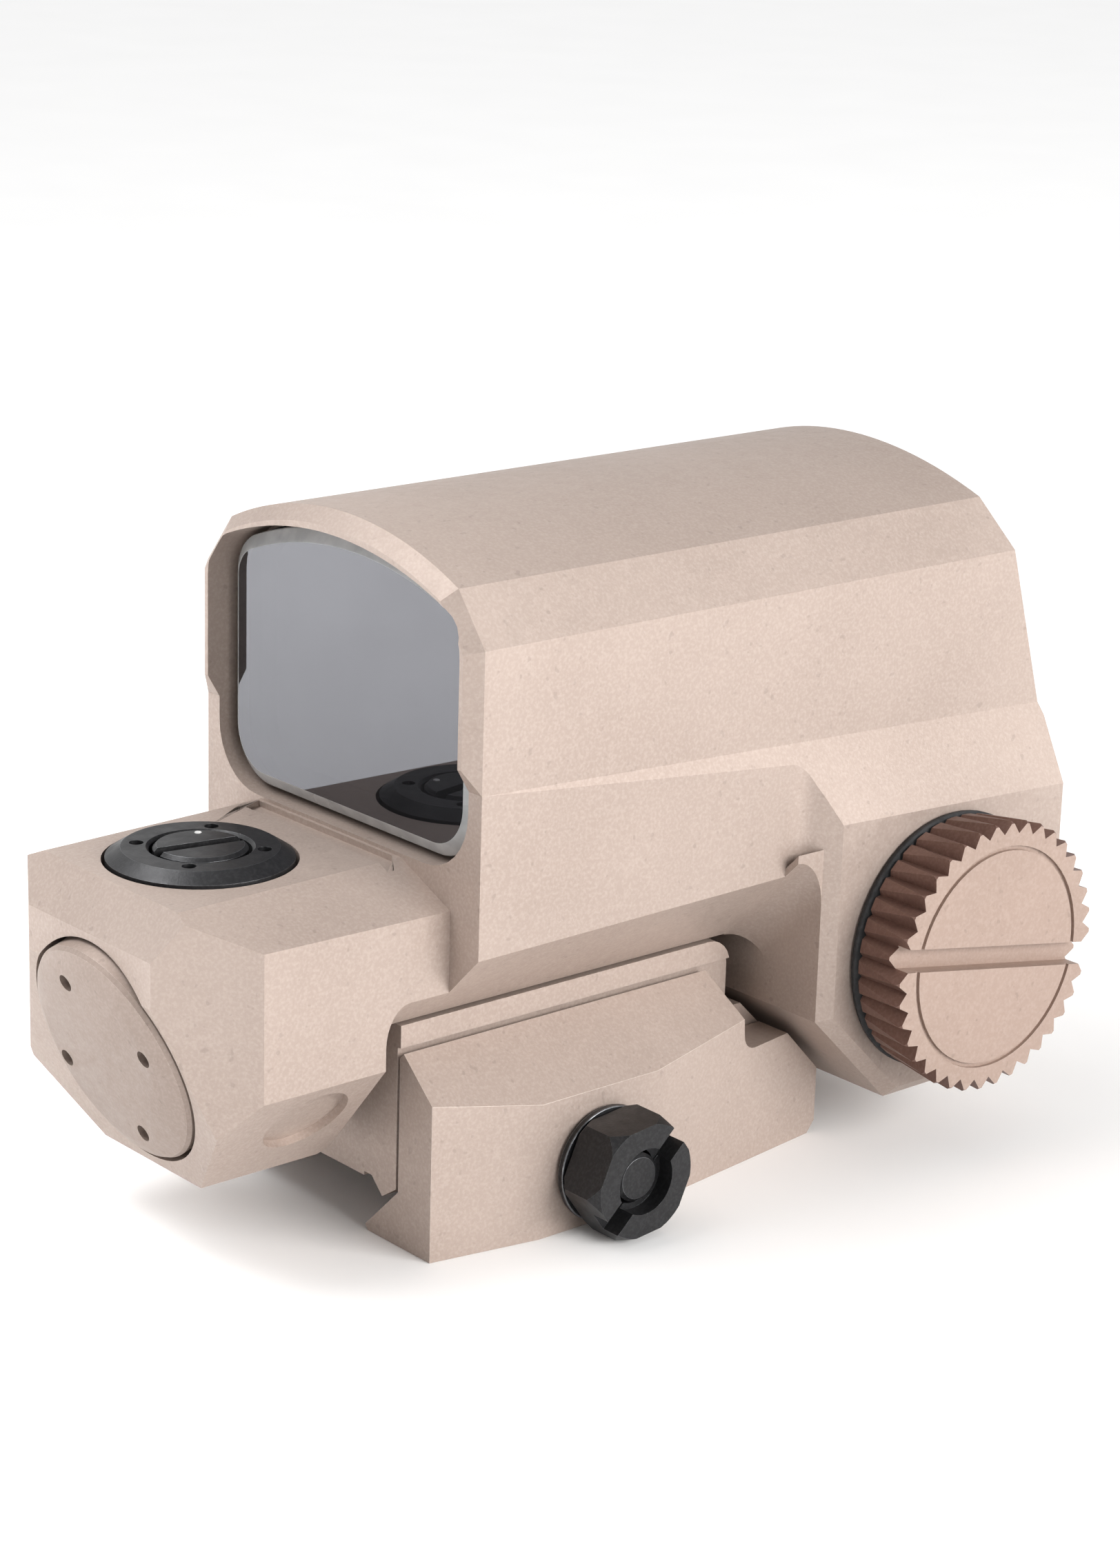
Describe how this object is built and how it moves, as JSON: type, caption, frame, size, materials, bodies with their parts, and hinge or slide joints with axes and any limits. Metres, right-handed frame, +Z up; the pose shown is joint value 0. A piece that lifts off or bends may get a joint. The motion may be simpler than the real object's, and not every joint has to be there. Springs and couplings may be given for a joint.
{
  "type": "red dot finder",
  "caption": "Enclosed red dot finder: hooded window, stepped emitter box with slotted adjuster, battery dial on one side, and a side-tightened rail clamp.",
  "frame": {"origin": "middle of the flat face of the clamp that sits on top of the rail", "axes": "+X forwards through the hood along the rail, +Y to the left, +Z up"},
  "size_m": [0.0904, 0.05, 0.0589],
  "materials": {
    "anodised_body": "satin rose-tan anodising over fine bead blasting",
    "coated_glass": "coated optical glass",
    "black_metal": "black anodised, satin",
    "rubber": "matt",
    "board": "circuit board",
    "brass": "turned",
    "emitter_plastic": "clear red",
    "cell_sleeve": "printed sleeve, left blank",
    "steel": "plain"
  },
  "bodies": {
    "sight": {"housing": "anodised_body", "rear_window": "coated_glass", "window_gasket": "rubber", "front_lens": "coated_glass", "lens_ring": "black_metal", "emitter_cap": "anodised_body", "cap_seal": "rubber", "emitter_board": "board", "elevation_collar": "black_metal", "windage_collar": "black_metal", "dial_seal": "rubber", "battery": "cell_sleeve", "contact_spring": "steel", "rail_base": "anodised_body", "clamp_bolt": "black_metal", "base_screw_rear": "steel", "base_screw_front": "steel"},
    "dial": {"dial_knob": "anodised_body", "dial_contact": "brass"},
    "elevation": {"elevation_screw": "black_metal"},
    "windage": {"windage_screw": "black_metal"},
    "slider": {"windage_slider": "brass"},
    "emitter": {"emitter_tube": "brass", "light_emitter": "emitter_plastic"},
    "jaw": {"clamp_jaw": "anodised_body", "clamp_washer": "black_metal"},
    "nut": {"clamp_nut": "black_metal"}
  },
  "joints": [
    {"name": "dial_turn", "type": "hinge", "parent": "sight", "child": "dial", "pos_m": [0.0307, -0.0255, 0.01365], "axis": [0, -1, 0], "range_deg": [0, 330]},
    {"name": "elevation_turn", "type": "hinge", "parent": "sight", "child": "elevation", "pos_m": [-0.0326, 0.00095, 0.0265], "axis": [0, 0, 1], "range_deg": [-360, 360]},
    {"name": "windage_turn", "type": "hinge", "parent": "sight", "child": "windage", "pos_m": [-0.0337, 0.0135, 0.01785], "axis": [0, 1, 0], "range_deg": [-360, 360]},
    {"name": "windage_shift", "type": "slide", "parent": "sight", "child": "slider", "axis": [0, 1, 0], "range_m": [-0.0004, 0.0004]},
    {"name": "elevation_lift", "type": "slide", "parent": "slider", "child": "emitter", "axis": [0, 0, 1], "range_m": [-0.0004, 0.0004]},
    {"name": "jaw_slide", "type": "slide", "parent": "sight", "child": "jaw", "axis": [0, -1, 0], "range_m": [0, 0.003]},
    {"name": "nut_turn", "type": "hinge", "parent": "jaw", "child": "nut", "pos_m": [-0.0057, -0.0218, 0.00065], "axis": [0, -1, 0], "range_deg": [0, 1080]}
  ],
  "couplings": [
    {"joint": "windage_turn", "follows": "windage_shift", "rad_per_m": 15700},
    {"joint": "elevation_turn", "follows": "elevation_lift", "rad_per_m": 15700},
    {"joint": "nut_turn", "follows": "jaw_slide", "rad_per_m": 6280}
  ]
}
